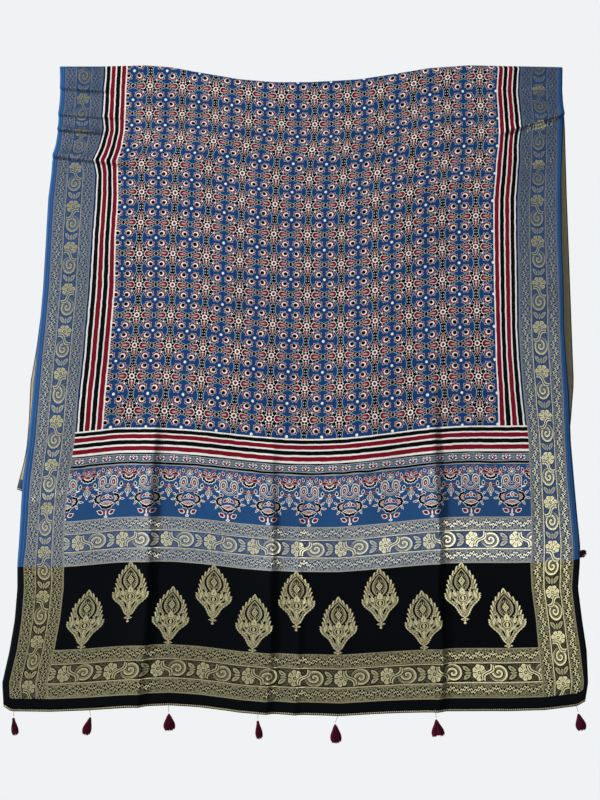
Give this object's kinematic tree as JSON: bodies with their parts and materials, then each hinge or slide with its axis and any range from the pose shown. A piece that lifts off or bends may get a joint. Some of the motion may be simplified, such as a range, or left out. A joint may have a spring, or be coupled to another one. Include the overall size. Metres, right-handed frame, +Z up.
{
  "type": "hanging ajrakh cloth",
  "caption": "Long ajrakh-printed modal silk cloth with woven gold borders and tasselled ends, folded over a line so that it hangs in two layers.",
  "frame": {"origin": "inside top of the fold at the middle of the cloth's width, where the line that holds it runs", "axes": "+Z up, +X along the line towards the viewer's right, -Y towards the viewer, who sees the longer layer"},
  "size_m": [1.1076, 0.08, 1.3156],
  "materials": {
    "modal_silk": "soft satin with woven zari",
    "tassel_yarn": "matt yarn"
  },
  "bodies": {
    "root": {"cloth": "modal_silk", "tassel_front_1": "tassel_yarn", "tassel_front_2": "tassel_yarn", "tassel_front_3": "tassel_yarn", "tassel_front_4": "tassel_yarn", "tassel_front_5": "tassel_yarn", "tassel_front_6": "tassel_yarn", "tassel_front_7": "tassel_yarn", "tassel_back_1": "tassel_yarn", "tassel_back_2": "tassel_yarn", "tassel_back_3": "tassel_yarn", "tassel_back_4": "tassel_yarn", "tassel_back_5": "tassel_yarn", "tassel_back_6": "tassel_yarn", "tassel_back_7": "tassel_yarn"}
  },
  "joints": []
}
